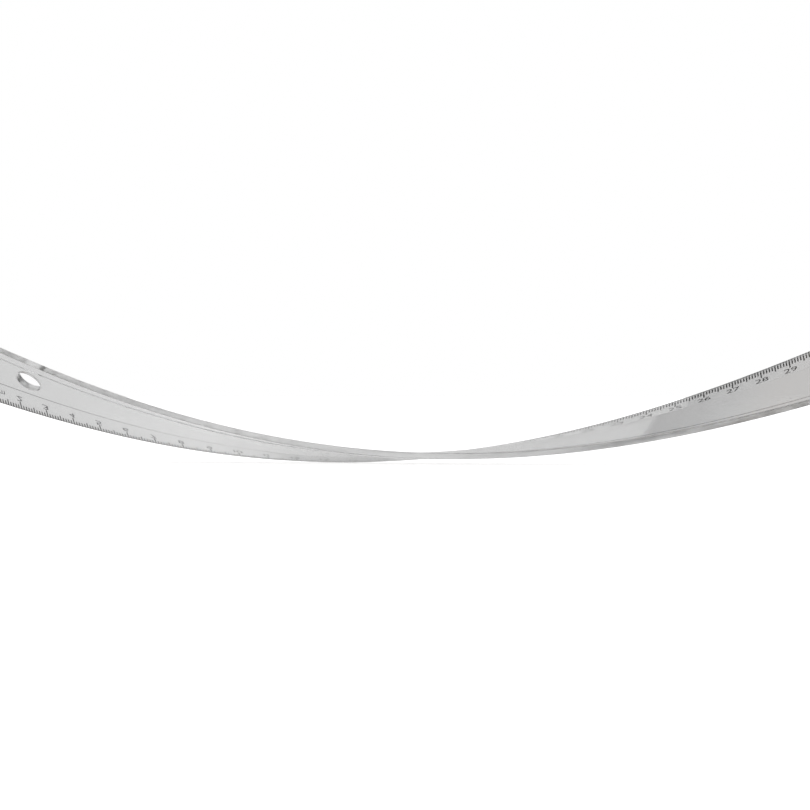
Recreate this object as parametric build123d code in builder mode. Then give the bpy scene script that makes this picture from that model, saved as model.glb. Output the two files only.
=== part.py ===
from build123d import *
import math
import os

# Clear plastic 30 cm ruler with one bevelled scale edge, moulded in one piece.
# It is held flexed: bent along its length so that both ends rise, and twisted about its length.
# The bevel is on the upper face; the underside is flat, apart from a relief along the plain edge.
# X runs along the ruler from the zero end to the 30 end, Y runs away from the viewer and Z is up.
# The origin is the bottom centre of the bounding box, on the surface that the ruler lies on.

# Outline, in millimetres
scale_length = 300.0
end_margin = 6.0
ruler_width = 31.0
corner_radius = 3.0
corner_crossing = 0.03  # the corner arc lies this much further out, so that it crosses both edges

# Cross-section
body_thickness = 2.15
scale_edge_thickness = 1.65
bevel_width = 10.8
bevel_step = 0.12
bevel_step_slope = 60.0  # in degrees
relief_width = 3.8
relief_depth = 0.2
edge_round = 0.2
plain_edge_round = 0.3

# Hanging hole
hole_radius = 4.65
hole_from_zero_mark = 25.6
hole_from_plain_edge = 11.2

# Flex: the bend is tightest at the middle and eases towards both ends, and the twist is even
middle_bend_radius = 328.0
end_bend_radius = 974.0
whole_twist = 76.0

# How the middle of the ruler is held, in degrees
pitch_at_middle = 1.0
heading_at_middle = -9.4
lean_at_middle = -4.6

# Fineness of the flexed line
section_count = 31
longest_step = 10.0

# Lengths worked out from the above
ruler_length = scale_length + 2 * end_margin
half_width = ruler_width / 2
half_thickness = body_thickness / 2
twist_rate = math.radians(whole_twist) / ruler_length

# At the middle, before the ruler is turned: x across towards the scale edge, y up, z along
level_plane = Plane(origin=(0, 0, 0), x_dir=(0, 1, 0), z_dir=(1, 0, 0))
middle_frame = Location(level_plane) * Location(
    (0, 0, 0), (pitch_at_middle, heading_at_middle, lean_at_middle)
)


def curvature_at(distance):
    """Bend in radians per millimetre, at a distance from the middle of the ruler."""
    middle_curvature = 1 / middle_bend_radius
    end_curvature = 1 / end_bend_radius
    share = (2 * distance / ruler_length) ** 2
    return middle_curvature + (end_curvature - middle_curvature) * share


def frame_at(distance):
    """Frame of the flexed strip: x across to the scale edge, y out of the upper face, z along."""
    frame = middle_frame
    steps = math.ceil(abs(distance) / longest_step)
    for index in range(steps):
        step = distance / steps
        half_step = Location((0, 0, step / 2))
        bend = step * curvature_at((index + 0.5) * step)
        twist = step * twist_rate
        turn = Location((0, 0, 0), (-bend, 0, twist), math.degrees(math.hypot(bend, twist)))
        frame = frame * half_step * turn * half_step
    return frame


def face_plane(distance, across):
    """Plane in the strip's mid-surface: its x runs along the ruler and its z out of the upper face."""
    frame = frame_at(distance)
    section_plane = Plane(frame)
    origin = section_plane.from_local_coords((across, 0, 0))
    return Plane(origin=origin, x_dir=section_plane.z_dir, z_dir=section_plane.y_dir)


# Corners of the cross-section, seen from the 30 end, with the plain edge at the left.
# A low, steep step parts the bevel from the level face.
bevel_start = half_width - bevel_width
bevel_step_run = bevel_step / math.tan(math.radians(bevel_step_slope))
scale_edge_bottom = (half_width, -half_thickness)
scale_edge_top = (half_width, -half_thickness + scale_edge_thickness)
bevel_foot = (bevel_start, half_thickness - bevel_step)
bevel_head = (bevel_start - bevel_step_run, half_thickness)
plain_edge_top = (-half_width, half_thickness)
plain_edge_bottom = (-half_width, -half_thickness + relief_depth)
relief_root = (-half_width + relief_width, -half_thickness + relief_depth)
relief_lip = (-half_width + relief_width, -half_thickness)

with BuildPart() as strip:
    # The moulded strip: one cross-section at each station, joined smoothly
    for index in range(section_count):
        distance = ruler_length * (index / (section_count - 1) - 0.5)
        with BuildSketch(Plane(frame_at(distance))) as section:
            with BuildLine():
                Polyline(
                    scale_edge_bottom,
                    scale_edge_top,
                    bevel_foot,
                    bevel_head,
                    plain_edge_top,
                    plain_edge_bottom,
                    relief_root,
                    relief_lip,
                    close=True,
                )
            make_face()
            fillet(section.vertices().group_by(Axis.X)[-1], radius=edge_round)
            fillet(section.vertices().group_by(Axis.X)[0].sort_by(Axis.Y)[-1], radius=plain_edge_round)
            fillet(section.vertices().group_by(Axis.X)[0].sort_by(Axis.Y)[0], radius=edge_round)
    loft()

    # The hanging hole, square to the face that it goes through
    hole_distance = hole_from_zero_mark - scale_length / 2
    with BuildSketch(face_plane(hole_distance, -half_width + hole_from_plain_edge)):
        Circle(hole_radius)
    extrude(amount=body_thickness, both=True, mode=Mode.SUBTRACT)

    # The four rounded corners, each cut by a square that lacks a quarter of a disc
    arc_inset = corner_radius - corner_crossing
    cutter_size = arc_inset + corner_radius
    for end in (-1, 1):
        for side in (-1, 1):
            with BuildSketch(face_plane(end * ruler_length / 2, side * half_width)):
                with Locations((end * corner_crossing / 2, side * corner_crossing / 2)):
                    Rectangle(cutter_size, cutter_size)
                with Locations((-end * arc_inset, -side * arc_inset)):
                    Circle(corner_radius, mode=Mode.SUBTRACT)
            extrude(amount=body_thickness, both=True, mode=Mode.SUBTRACT)

# The finished ruler stands on the surface, with the middle of its bounding box over the origin
strip_box = strip.part.bounding_box()
with BuildPart() as ruler:
    with Locations((-strip_box.center().X, -strip_box.center().Y, -strip_box.min.Z)):
        add(strip.part)

ruler.part.label = "ruler"
os.makedirs("parts", exist_ok=True)
export_step(ruler.part, "parts/ruler.step")
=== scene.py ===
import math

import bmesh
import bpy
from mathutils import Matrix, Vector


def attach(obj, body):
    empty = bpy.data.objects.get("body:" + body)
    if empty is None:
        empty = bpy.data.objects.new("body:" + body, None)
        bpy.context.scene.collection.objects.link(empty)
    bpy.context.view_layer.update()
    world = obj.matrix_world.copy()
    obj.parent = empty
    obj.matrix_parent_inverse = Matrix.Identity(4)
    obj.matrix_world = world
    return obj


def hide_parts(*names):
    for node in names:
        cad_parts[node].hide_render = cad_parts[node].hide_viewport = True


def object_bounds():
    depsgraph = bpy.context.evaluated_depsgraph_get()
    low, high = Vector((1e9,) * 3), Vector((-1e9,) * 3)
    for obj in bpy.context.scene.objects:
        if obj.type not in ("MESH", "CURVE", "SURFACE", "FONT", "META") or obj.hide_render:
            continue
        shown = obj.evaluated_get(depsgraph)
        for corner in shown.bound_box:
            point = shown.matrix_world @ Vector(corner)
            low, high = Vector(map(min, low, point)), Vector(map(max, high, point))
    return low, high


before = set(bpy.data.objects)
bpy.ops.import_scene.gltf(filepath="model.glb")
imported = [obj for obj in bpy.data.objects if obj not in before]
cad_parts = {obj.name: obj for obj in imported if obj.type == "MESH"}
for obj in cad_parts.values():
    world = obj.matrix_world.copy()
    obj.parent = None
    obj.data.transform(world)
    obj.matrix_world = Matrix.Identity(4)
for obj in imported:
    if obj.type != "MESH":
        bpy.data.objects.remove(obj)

# Looks of the clear plastic ruler: the moulded strip and its printed scale, on a pale floor in
# soft light. Each piece is modelled flat and in millimetres, with X along the ruler from its
# middle towards the 30 end, Y across it towards the scale edge, and Z out of its bevelled face.
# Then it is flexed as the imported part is, and set in its place in metres. The scale is printed on
# the flat underside, so it is read through the plastic from above and stands reversed when it is
# seen from below.

cad_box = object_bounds()
MM = 0.001

# The moulded strip, in millimetres
scale_length = 300.0
end_margin = 6.0
ruler_width = 31.0
corner_radius = 3.0
corner_crossing = 0.03
body_thickness = 2.15
scale_edge_thickness = 1.65
bevel_width = 10.8
bevel_step = 0.12
bevel_step_slope = 60.0
relief_width = 3.8
relief_depth = 0.2
edge_round = 0.2
plain_edge_round = 0.3
# Width of the line at the foot of the bevel's step that is painted dark, as painted shade
foot_line = 0.2
hole_radius = 4.65
hole_from_zero_mark = 25.6
hole_from_plain_edge = 11.2

# The flex: bend radii and the longest step in millimetres, angles in degrees
middle_bend_radius = 328.0
end_bend_radius = 974.0
whole_twist = 76.0
pitch_at_middle = 1.0
heading_at_middle = -9.4
lean_at_middle = -4.6
longest_step = 10.0

# How finely the strip is divided for flexing
station_spacing = 1.5
strake_spacing = 2.4
corner_segments = 16
hole_segments = 96
edge_segments = 4
plain_edge_segments = 6
round_profile = 0.5
flat_angle = math.radians(0.5)
smooth_angle = math.radians(30)

# How edges and faces are found: lengths in millimetres, and shares of a direction of length 1
close_to = 0.01
straight_along = 0.9
facing = 0.5
lying_flat = 0.95
wall_reach = 0.6
corner_reach = 0.1
rim_reach = 0.05

# The printed scale
ink_thickness = 0.03
ink_depth = 0.01
tick_width = 0.46
tick_rounding = tick_width / 5
tick_segments = 2
tick_from_edge = 0.2
millimetre_tick = 2.8
half_centimetre_tick = 3.8
centimetre_tick = 4.8
digit_height = 3.0
digit_width = 2.15
one_width = 0.45
one_slot = 1.1
digit_gap = 0.25
digit_foot_from_edge = 8.1
unit_label_at = 12.5
unit_label_height = 2.0
unit_label_width = 3.9
letter_fineness = 3

# Grey level, smoothest and roughest place of each finish of the plastic; the polished grey, deeper
# than the satin walls', is partly painted shade
polished_painted_shade = (0.56, 0.0, 0.05)
satin = (0.8, 0.3, 0.38)
# Painted shade: a near-black, dull grey for the line at the foot of the bevel's step, standing in
# for the dark line the step shows
painted_line_shade = (0.03, 0.4, 0.5)

# The plastic and the ink
plastic_refraction = 1.49
plastic_absorption = 4
absorption_colour = (0.5, 0.5, 0.48, 1)
shadow_clearness = 0.9
haze_scale = 60
haze_detail = 4
thick_ink = (0.35, (0.012, 0.012, 0.014, 1))
thin_ink = (0.75, (0.035, 0.034, 0.034, 1))
ink_speckle_scale = 2500
ink_roughness = 0.55

# The floor, in metres, and how it glows where it is seen, seen through the plastic or mirrored.
# The mirrored glow runs from its first to its last strength between two places along X. As
# mirrored, the floor's own tone is low and its glow weakens towards the middle: painted shade of
# where the ruler meets the floor, and a painted reflection.
floor_size = 40
floor_tone = 0.9
mirrored_floor_tone = 0.15
floor_roughness = 0.8
seen_glow = 0.42
through_glow = 0.1
mirrored_glow = (0.44, 1.13)
mirrored_glow_span = (-0.005, -0.066)

# The sky that the plastic shows: the upward share of a direction, and the tone there
horizon_tone = 0.7
sky_tones = ((0.3, 0.69), (0.45, 0.735), (0.53, 0.7), (0.55, 0.2), (0.64, 0.2), (0.7, 0.34))
high_sky = (0.78, (0.53, 0.47, 0.42, 1))
low_sky = 0.1
viewer_side = -0.1
even_tone = 0.55

# The lamp and the camera: angles in degrees, its place in millimetres, its near limit in metres
lamp_direction = (0.3, -0.6, 2.2)
lamp_strength = 1.6
lamp_spread = 60
light_bounces = 32
camera_lens = 119.22
camera_sensor = 36
camera_place = (2.75, -897.3, 23.15)
camera_turn = (89.774, -0.036, -0.332)
camera_near = 0.01

# Lengths worked out from the above
ruler_length = scale_length + 2 * end_margin
half_length = ruler_length / 2
half_width = ruler_width / 2
half_thickness = body_thickness / 2
twist_rate = math.radians(whole_twist) / ruler_length
bevel_start = half_width - bevel_width
bevel_step_run = bevel_step / math.tan(math.radians(bevel_step_slope))
bevel_foot_height = half_thickness - bevel_step
scale_edge_height = -half_thickness + scale_edge_thickness
relief_end = -half_width + relief_width
relief_height = -half_thickness + relief_depth
hole_along = hole_from_zero_mark - scale_length / 2
hole_across = -half_width + hole_from_plain_edge


# Modelling by hand

def only(piece):
    """Leaves one object selected and active."""
    if bpy.context.object and bpy.context.object.mode != "OBJECT":
        bpy.ops.object.mode_set(mode="OBJECT")
    bpy.ops.object.select_all(action="DESELECT")
    piece.select_set(True)
    bpy.context.view_layer.objects.active = piece


def edit(piece):
    """Opens one object in edit mode with all of it selected."""
    only(piece)
    bpy.ops.object.mode_set(mode="EDIT")
    bpy.ops.mesh.select_all(action="SELECT")


def leave_edit():
    bpy.ops.object.mode_set(mode="OBJECT")


def block(name, low, high):
    """A box between two corners, with its place in its mesh."""
    bpy.ops.object.select_all(action="DESELECT")
    centre = [(a + b) / 2 for a, b in zip(low, high)]
    size = [b - a for a, b in zip(low, high)]
    bpy.ops.mesh.primitive_cube_add(size=1, location=centre, scale=size)
    bpy.ops.object.transform_apply(location=True, rotation=True, scale=True)
    bpy.context.object.name = name
    return bpy.context.object


def pick_faces(piece, wanted):
    """In edit mode, selects the faces whose centre and normal are wanted."""
    bpy.ops.mesh.select_mode(type="FACE")
    bpy.ops.mesh.select_all(action="DESELECT")
    mesh = bmesh.from_edit_mesh(piece.data)
    for face in mesh.faces:
        face.select_set(bool(wanted(face.calc_center_median(), face.normal)))
    bmesh.update_edit_mesh(piece.data)


def pick_edges(piece, wanted):
    """In edit mode, selects the edges whose middle and direction are wanted."""
    bpy.ops.mesh.select_mode(type="EDGE")
    bpy.ops.mesh.select_all(action="DESELECT")
    mesh = bmesh.from_edit_mesh(piece.data)
    for edge in mesh.edges:
        start, end = (vertex.co for vertex in edge.verts)
        edge.select_set(bool(wanted((start + end) / 2, (end - start).normalized())))
    bmesh.update_edit_mesh(piece.data)


def pick_long_edges(piece, wanted):
    """In edit mode, selects the edges along the ruler whose middle is wanted."""
    pick_edges(piece, lambda middle, way: abs(way.x) > straight_along and wanted(middle))


def round_upright_edges(piece, rounding, segments):
    """Rounds the edges of a block that stand upright."""
    edit(piece)
    pick_edges(piece, lambda middle, way: abs(way.z) > straight_along)
    bpy.ops.mesh.bevel(offset=rounding, segments=segments, profile=round_profile)
    leave_edit()


def bisect_all(place, normal):
    """In edit mode, divides the whole mesh along a plane."""
    bpy.ops.mesh.select_all(action="SELECT")
    bpy.ops.mesh.bisect(plane_co=place, plane_no=normal, threshold=0.00001)


def cut(piece, cutter, operation):
    """Applies a Boolean with a cutter, and removes the cutter."""
    only(piece)
    modifier = piece.modifiers.new("cut", "BOOLEAN")
    modifier.operation = operation
    modifier.object = cutter
    modifier.solver = "EXACT"
    bpy.ops.object.modifier_apply(modifier="cut")
    bpy.data.objects.remove(cutter)


# The flex

def curvature_at(distance):
    """Bend in radians per millimetre, at a distance from the middle of the ruler."""
    middle_curvature = 1 / middle_bend_radius
    end_curvature = 1 / end_bend_radius
    share = (2 * distance / ruler_length) ** 2
    return middle_curvature + (end_curvature - middle_curvature) * share


def turned(axis, degrees):
    return Matrix.Rotation(math.radians(degrees), 4, axis)


def frame_at(distance):
    """Frame of the flexed strip at a distance from its middle, before it is set in its place."""
    place = turned("Y", pitch_at_middle) @ turned("Z", heading_at_middle)
    place = place @ turned("X", lean_at_middle)
    steps = math.ceil(abs(distance) / longest_step)
    for index in range(steps):
        step = distance / steps
        half_step = Matrix.Translation((step / 2, 0, 0))
        bend = step * curvature_at((index + 0.5) * step)
        twist = step * twist_rate
        axis = Vector((twist, -bend, 0)).normalized()
        place = place @ half_step @ Matrix.Rotation(math.hypot(bend, twist), 4, axis) @ half_step
    return place


def flex(piece):
    """Bends and twists a flat piece in millimetres as the strip is, and turns it to metres."""
    known = {}
    for vertex in piece.data.vertices:
        distance = round(vertex.co.x, 4)
        if distance not in known:
            known[distance] = frame_at(distance)
        vertex.co = (known[distance] @ Vector((0, vertex.co.y, vertex.co.z))) * MM
    piece.data.update()


def corners(piece):
    """The lowest and highest corner of a piece's bounding box."""
    places = [vertex.co for vertex in piece.data.vertices]
    low = Vector([min(place[axis] for place in places) for axis in range(3)])
    high = Vector([max(place[axis] for place in places) for axis in range(3)])
    return low, high


def bottom_centre(low, high):
    return Vector(((low.x + high.x) / 2, (low.y + high.y) / 2, low.z))


# The pieces

def moulded_strip():
    """The flat strip: its section, its rounded corners and its hanging hole."""
    strip = block("ruler_strip", (-half_length, -half_width, relief_height),
                  (half_length, half_width, bevel_foot_height))
    edit(strip)
    bisect_all((0, bevel_start, 0), (0, 1, 0))
    bisect_all((0, relief_end, 0), (0, 1, 0))
    pick_faces(strip, lambda centre, normal: normal.z < -facing and centre.y > relief_end)
    bpy.ops.mesh.extrude_region_move(TRANSFORM_OT_translate={"value": (0, 0, -relief_depth)})
    pick_faces(strip, lambda centre, normal: normal.z > facing and centre.y < bevel_start)
    bpy.ops.mesh.extrude_region_move(TRANSFORM_OT_translate={"value": (0, 0, bevel_step)})
    pick_long_edges(strip, lambda middle: abs(middle.y - bevel_start) < close_to
                    and middle.z > half_thickness - close_to)
    bpy.ops.transform.translate(value=(0, -bevel_step_run, 0))
    pick_long_edges(strip, lambda middle: middle.y > half_width - close_to
                    and middle.z > bevel_foot_height - close_to)
    bpy.ops.transform.translate(value=(0, 0, scale_edge_height - bevel_foot_height))
    bpy.ops.mesh.select_all(action="SELECT")
    bpy.ops.mesh.dissolve_limited(angle_limit=flat_angle)
    pick_long_edges(strip, lambda middle: middle.y < -half_width + close_to
                    and middle.z > half_thickness - close_to)
    bpy.ops.mesh.bevel(offset=plain_edge_round, segments=plain_edge_segments, profile=round_profile)
    pick_long_edges(strip, lambda middle: middle.y > half_width - close_to
                    or (middle.y < -half_width + close_to and middle.z < relief_height + close_to))
    bpy.ops.mesh.bevel(offset=edge_round, segments=edge_segments, profile=round_profile)
    stations = round(ruler_length / station_spacing)
    for index in range(1, stations):
        bisect_all((-half_length + index * ruler_length / stations, 0, 0), (1, 0, 0))
    strakes = round(ruler_width / strake_spacing)
    for index in range(1, strakes):
        bisect_all((0, -half_width + index * ruler_width / strakes, 0), (0, 1, 0))
    # Divides off the line at the foot of the bevel that is painted dark, as painted shade
    bisect_all((0, bevel_start + foot_line, 0), (0, 1, 0))
    leave_edit()
    reach = (half_length + corner_crossing, half_width + corner_crossing, 2 * body_thickness)
    outline = block("corner_outline", [-length for length in reach], reach)
    round_upright_edges(outline, corner_radius, corner_segments)
    cut(strip, outline, "INTERSECT")
    bpy.ops.object.select_all(action="DESELECT")
    bpy.ops.mesh.primitive_cylinder_add(
        vertices=hole_segments, radius=hole_radius, depth=4 * body_thickness,
        location=(hole_along, hole_across, 0))
    bpy.ops.object.transform_apply(location=True, rotation=True, scale=True)
    cut(strip, bpy.context.object, "DIFFERENCE")
    return strip


def finish_strip(strip):
    """Polished faces and scale edge, and satin walls at the plain edge, ends, hole and relief.

    A narrow line at the foot of the bevel's step is painted dark and dull: painted shade for the
    dark line that the step shows.
    """
    strip.data.materials.clear()
    # The polished faces take a deeper grey than the satin walls: the plastic's tint, and partly
    # painted shade for the dim surroundings they show
    strip.data.materials.append(clear_plastic("clear_plastic", *polished_painted_shade))
    strip.data.materials.append(clear_plastic("satin_edge", *satin))
    strip.data.materials.append(clear_plastic("painted_shade_line", *painted_line_shade))
    for face in strip.data.polygons:
        x, y = face.center.x, face.center.y
        upright = abs(face.normal.z) < lying_flat
        at_edge = y < -half_width + wall_reach or abs(x) > half_length - wall_reach
        past_corner = (max(abs(x) - half_length + corner_radius, 0),
                       max(abs(y) - half_width + corner_radius, 0))
        in_corner = math.hypot(*past_corner) > corner_radius - corner_reach
        in_hole = math.hypot(x - hole_along, y - hole_across) < hole_radius + rim_reach
        in_relief = abs(y - relief_end) < rim_reach
        # The line at the foot of the bevel's step takes the painted shade
        on_line = face.normal.z > facing and bevel_start < y < bevel_start + foot_line
        on_wall = upright and (at_edge or in_corner or in_hole or in_relief)
        face.material_index = 1 if on_wall else 2 if on_line else 0


def lay_on_underside(piece):
    """Lowers flat print to just inside the underside of the strip."""
    piece.data.transform(Matrix.Translation((0, 0, ink_depth + ink_thickness / 2 - half_thickness)))


def join(pieces, name):
    """Makes one named object of several."""
    only(pieces[0])
    for piece in pieces:
        piece.select_set(True)
    bpy.ops.object.join()
    pieces[0].name = name
    return pieces[0]


def copied(piece, along):
    """A copy with its own mesh, moved along the ruler."""
    twin = piece.copy()
    twin.data = piece.data.copy()
    bpy.context.collection.objects.link(twin)
    twin.data.transform(Matrix.Translation((along, 0, 0)))
    return twin


def tick(length):
    """One mark of the scale at the middle of the ruler, that ends at a length from the edge."""
    mark = block("tick", (-tick_width / 2, half_width - length, -ink_thickness / 2),
                 (tick_width / 2, half_width - tick_from_edge, ink_thickness / 2))
    round_upright_edges(mark, tick_rounding, tick_segments)
    return mark


def scale_ticks():
    """A mark at each millimetre, longer at half and whole centimetres."""
    kinds = {1: tick(millimetre_tick), 5: tick(half_centimetre_tick), 10: tick(centimetre_tick)}
    marks = []
    for millimetre in range(int(scale_length) + 1):
        size = 10 if millimetre % 10 == 0 else 5 if millimetre % 5 == 0 else 1
        marks.append(copied(kinds[size], millimetre - scale_length / 2))
    for pattern in kinds.values():
        bpy.data.objects.remove(pattern)
    return join(marks, "scale_ticks")


def lettering(body, height, width, centre, foot):
    """Flat print of a height and a width, with its centre along the ruler and its foot in place."""
    bpy.ops.object.select_all(action="DESELECT")
    bpy.ops.object.text_add(location=(0, 0, 0))
    text = bpy.context.object
    text.data.body = body
    text.data.align_x = "CENTER"
    text.data.extrude = ink_thickness / 2
    text.data.resolution_u = letter_fineness
    only(text)
    bpy.ops.object.convert(target="MESH")
    low, high = corners(text)
    text.data.transform(Matrix.Translation((-(low.x + high.x) / 2, -low.y, 0)))
    stretch = (width / (high.x - low.x), height / (high.y - low.y), 1, 1)
    text.data.transform(Matrix.Diagonal(stretch))
    text.data.transform(Matrix.Translation((centre, foot, 0)))
    return text


def scale_numbers():
    """The numbers at the centimetre marks, and the unit."""
    foot = half_width - digit_foot_from_edge
    numbers = []
    for centimetre in range(int(scale_length / 10) + 1):
        digits = str(centimetre)
        slots = [one_slot if digit == "1" else digit_width for digit in digits]
        whole_width = sum(slots) + (len(digits) - 1) * digit_gap
        left = 10 * centimetre - scale_length / 2 - whole_width / 2
        for digit, slot in zip(digits, slots):
            width = one_width if digit == "1" else digit_width
            numbers.append(lettering(digit, digit_height, width, left + slot / 2, foot))
            left += slot + digit_gap
    numbers.append(lettering("cm", unit_label_height, unit_label_width,
                             unit_label_at - scale_length / 2, foot))
    return join(numbers, "scale_numbers")


# The finishes

def grey(tone):
    return (tone, tone, tone, 1)


def new_material(name):
    """A material with its nodes, its links, its shader and its output."""
    material = bpy.data.materials.new(name)
    material.use_nodes = True
    nodes, links = material.node_tree.nodes, material.node_tree.links
    return material, nodes, links, nodes["Principled BSDF"], nodes["Material Output"]


def clear_plastic(name, tone, smoothest, roughest):
    """Clear moulded plastic with a grey tint, in a finish that varies a little across it."""
    material, nodes, links, shader, output = new_material(name)
    # The grey tint: the plastic's own, and where it is deeper, as on the polished faces, partly
    # painted shade
    shader.inputs["Base Color"].default_value = grey(tone)
    shader.inputs["Transmission Weight"].default_value = 1
    shader.inputs["IOR"].default_value = plastic_refraction
    place = nodes.new("ShaderNodeTexCoord")
    haze = nodes.new("ShaderNodeTexNoise")
    haze.inputs["Scale"].default_value = haze_scale
    haze.inputs["Detail"].default_value = haze_detail
    links.new(place.outputs["Object"], haze.inputs["Vector"])
    rough = nodes.new("ShaderNodeMapRange")
    rough.inputs["To Min"].default_value = smoothest
    rough.inputs["To Max"].default_value = roughest
    links.new(haze.outputs["Fac"], rough.inputs["Value"])
    links.new(rough.outputs["Result"], shader.inputs["Roughness"])
    absorption = nodes.new("ShaderNodeVolumeAbsorption")
    absorption.inputs["Color"].default_value = absorption_colour
    absorption.inputs["Density"].default_value = plastic_absorption
    links.new(absorption.outputs["Volume"], output.inputs["Volume"])
    path = nodes.new("ShaderNodeLightPath")
    clear = nodes.new("ShaderNodeBsdfTransparent")
    clear.inputs["Color"].default_value = grey(shadow_clearness)
    mix = nodes.new("ShaderNodeMixShader")
    links.new(path.outputs["Is Shadow Ray"], mix.inputs["Fac"])
    links.new(shader.outputs["BSDF"], mix.inputs[1])
    links.new(clear.outputs["BSDF"], mix.inputs[2])
    links.new(mix.outputs["Shader"], output.inputs["Surface"])
    return material


def printing_ink():
    """Matt dark ink, a little uneven where it is thin."""
    material, nodes, links, shader, output = new_material("printing_ink")
    place = nodes.new("ShaderNodeTexCoord")
    speckle = nodes.new("ShaderNodeTexNoise")
    speckle.inputs["Scale"].default_value = ink_speckle_scale
    links.new(place.outputs["Object"], speckle.inputs["Vector"])
    tone = nodes.new("ShaderNodeValToRGB")
    for element, (position, colour) in zip(tone.color_ramp.elements, (thick_ink, thin_ink)):
        element.position = position
        element.color = colour
    links.new(speckle.outputs["Fac"], tone.inputs["Fac"])
    links.new(tone.outputs["Color"], shader.inputs["Base Color"])
    shader.inputs["Roughness"].default_value = ink_roughness
    return material


# The stage

def ray_kinds(nodes, links):
    """1 or 0 for each kind of ray: from the camera, mirrored, or come through the plastic."""
    path = nodes.new("ShaderNodeLightPath")
    through = path.outputs["Is Transmission Ray"]
    mirrored = nodes.new("ShaderNodeMath")
    mirrored.operation = "SUBTRACT"
    mirrored.use_clamp = True
    links.new(path.outputs["Is Glossy Ray"], mirrored.inputs[0])
    links.new(through, mirrored.inputs[1])
    return path.outputs["Is Camera Ray"], mirrored.outputs["Value"], through


def combined(nodes, links, operation, first, second, third=None):
    """A Math node fed by sockets or by plain numbers."""
    node = nodes.new("ShaderNodeMath")
    node.operation = operation
    for index, value in enumerate((first, second, third)):
        if isinstance(value, (int, float)):
            node.inputs[index].default_value = value
        elif value is not None:
            links.new(value, node.inputs[index])
    return node.outputs["Value"]


def blended(nodes, links, share, first, second):
    """Two colours mixed by a share, each of them a socket or a plain colour."""
    node = nodes.new("ShaderNodeMix")
    node.data_type = "RGBA"
    links.new(share, node.inputs["Factor"])
    for name, value in (("A", first), ("B", second)):
        if isinstance(value, tuple):
            node.inputs[name].default_value = value
        else:
            links.new(value, node.inputs[name])
    return node.outputs["Result"]


def pale_floor():
    """A matt floor that shows white, and is mirrored darker from the middle to the 30 end."""
    bpy.ops.object.select_all(action="DESELECT")
    bpy.ops.mesh.primitive_plane_add(size=1, location=(0, 0, 0))
    floor = bpy.context.object
    floor.name = "floor"
    floor.scale = (floor_size, floor_size, 1)
    bpy.ops.object.transform_apply(location=False, rotation=False, scale=True)
    material, nodes, links, shader, output = new_material("pale_floor")
    shader.inputs["Roughness"].default_value = floor_roughness
    shader.inputs["Specular IOR Level"].default_value = 0
    shader.inputs["Emission Color"].default_value = grey(1)
    camera, mirrored, through = ray_kinds(nodes, links)
    # As mirrored in the plastic, the floor takes a low tone and a glow that weakens towards the
    # middle: painted shade and painted reflection
    tone = blended(nodes, links, mirrored, grey(floor_tone), grey(mirrored_floor_tone))
    links.new(tone, shader.inputs["Base Color"])
    place = nodes.new("ShaderNodeTexCoord")
    split = nodes.new("ShaderNodeSeparateXYZ")
    links.new(place.outputs["Object"], split.inputs["Vector"])
    side = nodes.new("ShaderNodeMapRange")
    for name, value in zip(("From Min", "From Max", "To Min", "To Max"),
                           mirrored_glow_span + mirrored_glow):
        side.inputs[name].default_value = value
    links.new(split.outputs["X"], side.inputs["Value"])
    glow = combined(nodes, links, "MULTIPLY", camera, seen_glow)
    glow = combined(nodes, links, "MULTIPLY_ADD", through, through_glow, glow)
    glow = combined(nodes, links, "MULTIPLY_ADD", mirrored, side.outputs["Result"], glow)
    links.new(glow, shader.inputs["Emission Strength"])
    floor.data.materials.append(material)


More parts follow.
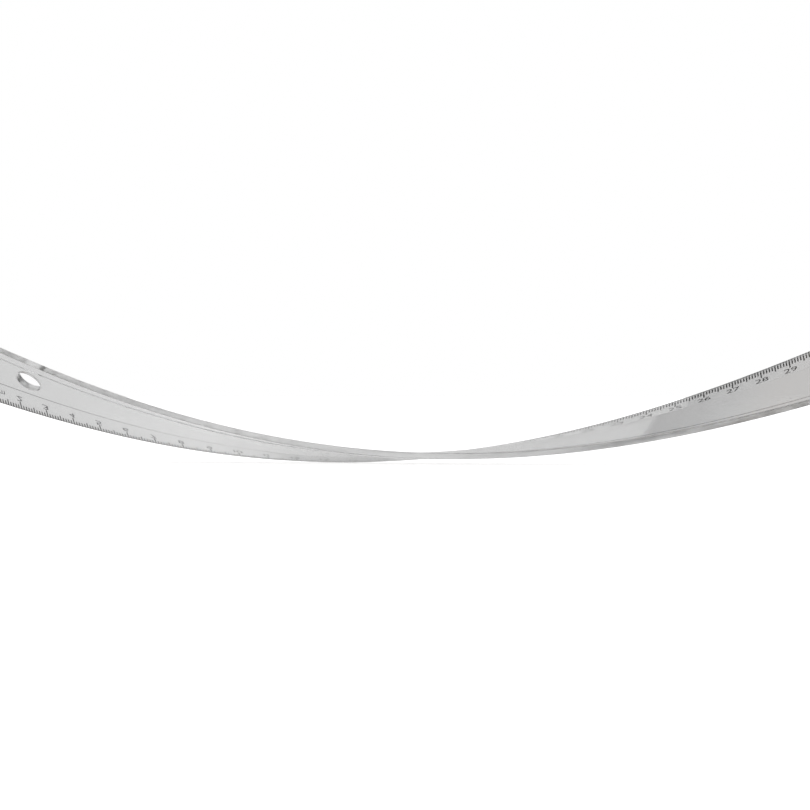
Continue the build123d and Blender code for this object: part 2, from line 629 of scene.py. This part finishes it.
def studio_world():
    """White behind the ruler, even for its light, and banded for what the plastic shows.

    The plastic shows white on the viewer's side, and low down where it is seen through. Elsewhere
    it shows the tones of the sky.
    """
    world = bpy.data.worlds.new("studio")
    bpy.context.scene.world = world
    world.use_nodes = True
    nodes, links = world.node_tree.nodes, world.node_tree.links
    background = nodes["Background"]
    place = nodes.new("ShaderNodeTexCoord")
    split = nodes.new("ShaderNodeSeparateXYZ")
    links.new(place.outputs["Generated"], split.inputs["Vector"])
    height = split.outputs["Z"]
    sky = nodes.new("ShaderNodeValToRGB")
    ramp = sky.color_ramp
    ramp.elements[0].position = 0
    ramp.elements[0].color = grey(horizon_tone)
    ramp.elements[1].position, ramp.elements[1].color = high_sky
    for position, tone in sky_tones:
        ramp.elements.new(position).color = grey(tone)
    links.new(height, sky.inputs["Fac"])
    camera, mirrored, through = ray_kinds(nodes, links)
    near_viewer = combined(nodes, links, "LESS_THAN", split.outputs["Y"], viewer_side)
    shown = blended(nodes, links, near_viewer, sky.outputs["Color"], grey(1))
    by_plastic = combined(nodes, links, "ADD", mirrored, through)
    lit = blended(nodes, links, by_plastic, grey(even_tone), shown)
    low = combined(nodes, links, "LESS_THAN", height, low_sky)
    as_backdrop = combined(nodes, links, "MULTIPLY_ADD", low, through, camera)
    links.new(blended(nodes, links, as_backdrop, lit, grey(1)), background.inputs["Color"])
    background.inputs["Strength"].default_value = 1


def soft_lamp(name, direction, strength):
    """A wide, soft light that comes from a direction and isn't seen in the plastic."""
    light = bpy.data.lights.new(name, "SUN")
    light.energy = strength
    light.angle = math.radians(lamp_spread)
    lamp = bpy.data.objects.new(name, light)
    bpy.context.collection.objects.link(lamp)
    lamp.rotation_euler = (-Vector(direction)).to_track_quat("-Z", "Y").to_euler()
    lamp.visible_glossy = False
    lamp.visible_transmission = False


def set_camera():
    """The camera, as it was fitted to the photograph."""
    data = bpy.data.cameras.new("camera")
    data.lens = camera_lens
    data.sensor_width = camera_sensor
    camera = bpy.data.objects.new("camera", data)
    bpy.context.collection.objects.link(camera)
    camera.location = [length * MM for length in camera_place]
    camera.rotation_euler = [math.radians(angle) for angle in camera_turn]
    data.clip_start = camera_near
    bpy.context.scene.camera = camera


# The ruler and its print

strip = moulded_strip()
finish_strip(strip)
flex(strip)
move = Matrix.Translation(bottom_centre(*cad_box) - bottom_centre(*corners(strip)))
strip.data.transform(move)
only(strip)
bpy.ops.object.shade_smooth_by_angle(angle=smooth_angle)
weighting = strip.modifiers.new("weighting", "WEIGHTED_NORMAL")
weighting.keep_sharp = True
bpy.ops.object.modifier_apply(modifier="weighting")

ink = printing_ink()
for piece in (scale_ticks(), scale_numbers()):
    lay_on_underside(piece)
    flex(piece)
    piece.data.transform(move)
    piece.data.materials.clear()
    piece.data.materials.append(ink)
    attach(piece, "root")

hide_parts("ruler")
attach(strip, "root")

pale_floor()
studio_world()
soft_lamp("overhead_lamp", lamp_direction, lamp_strength)
set_camera()
scene = bpy.context.scene
scene.view_settings.view_transform = "Standard"
scene.cycles.max_bounces = light_bounces
scene.cycles.glossy_bounces = light_bounces
scene.cycles.transmission_bounces = light_bounces
